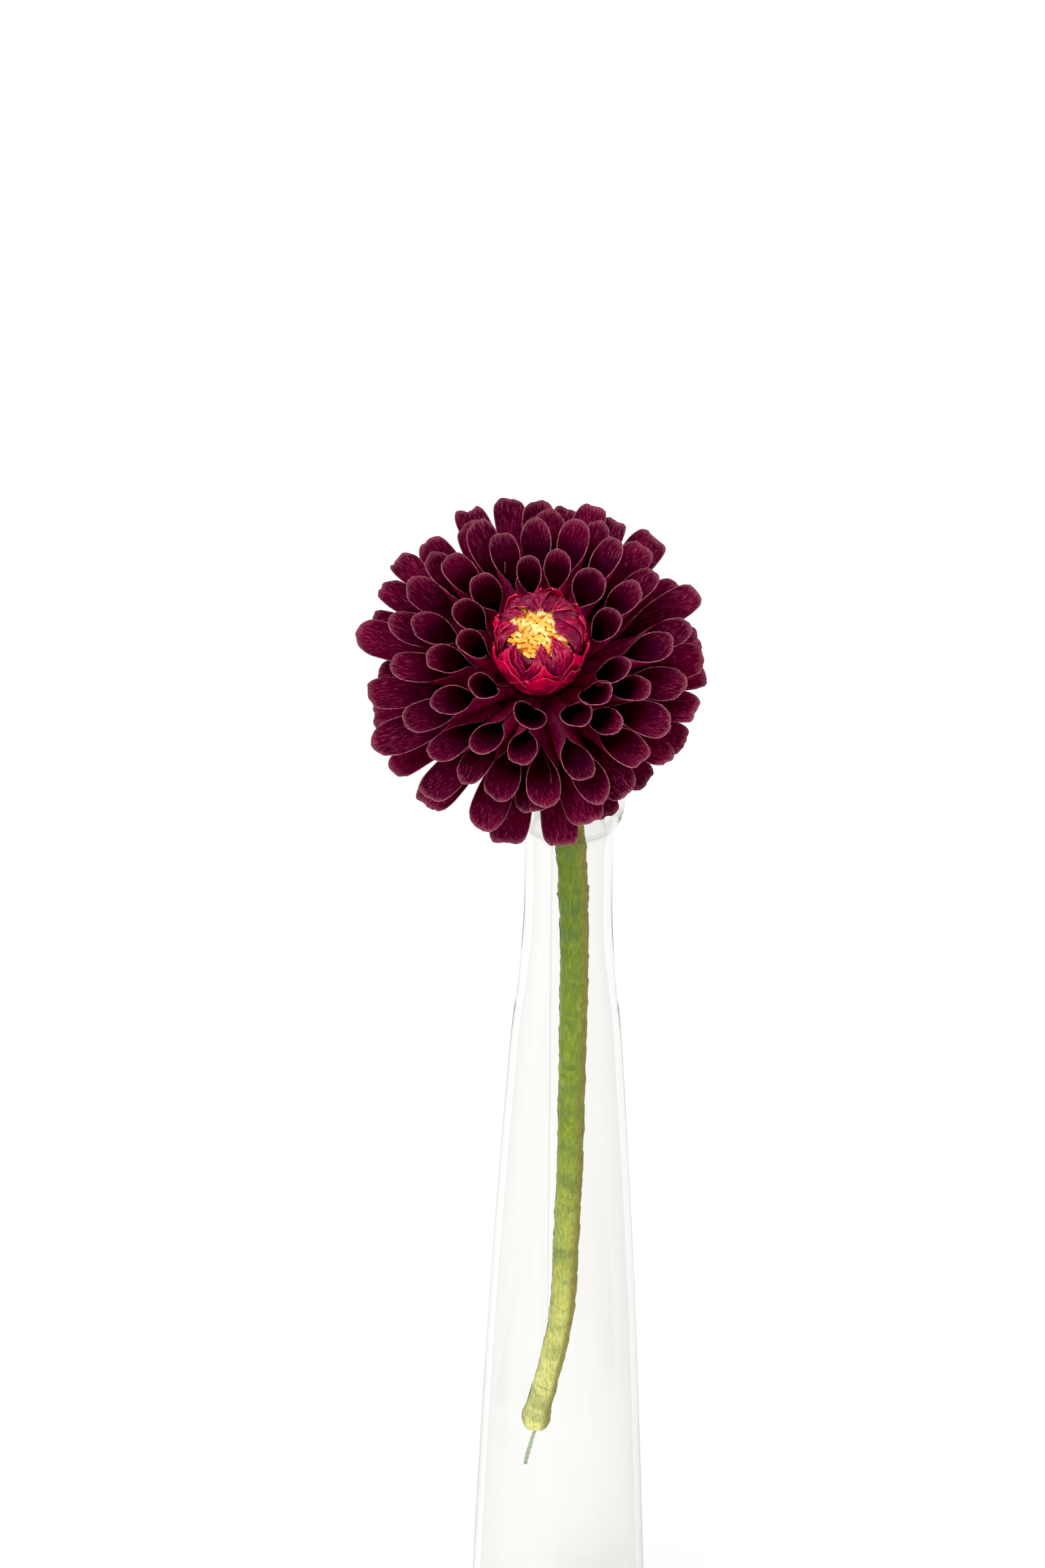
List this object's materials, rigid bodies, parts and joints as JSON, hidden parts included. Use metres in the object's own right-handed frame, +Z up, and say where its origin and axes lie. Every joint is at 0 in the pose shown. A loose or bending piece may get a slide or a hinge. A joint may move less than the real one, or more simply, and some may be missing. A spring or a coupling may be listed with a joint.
{
  "type": "crepe-paper ball dahlia in a glass bottle vase",
  "caption": "Handmade crepe-paper ball dahlia on a tape-wrapped stem, leaning in the mouth of a slim conical clear-glass bottle with a rolled lip.",
  "frame": {"origin": "centre of the bottle's flat base, where it stands on the table", "axes": "+Z up along the bottle's axis, -Y towards the side that the flower faces, +X to the right seen from that side"},
  "size_m": [0.085, 0.0837, 0.3968],
  "materials": {
    "vase_glass": "clear blown glass, smooth",
    "stem_tape": "green crepe tape, waxed, wound in overlapping turns",
    "stem_wire": "steel stem wire under green paper tape",
    "calyx_crepe": "leaf-green crepe paper, matte",
    "petal_crepe": "deep burgundy crepe paper with lengthwise grain, matte",
    "bud_crepe": "crimson crepe paper under a thin gloss lacquer",
    "floret_paper": "folded yolk-yellow paper, matte"
  },
  "bodies": {
    "root": {"vase": "vase_glass", "stem": "stem_tape", "wire": "stem_wire", "calyx": "calyx_crepe", "petals": "petal_crepe", "bud": "bud_crepe", "florets": "floret_paper"}
  },
  "joints": []
}
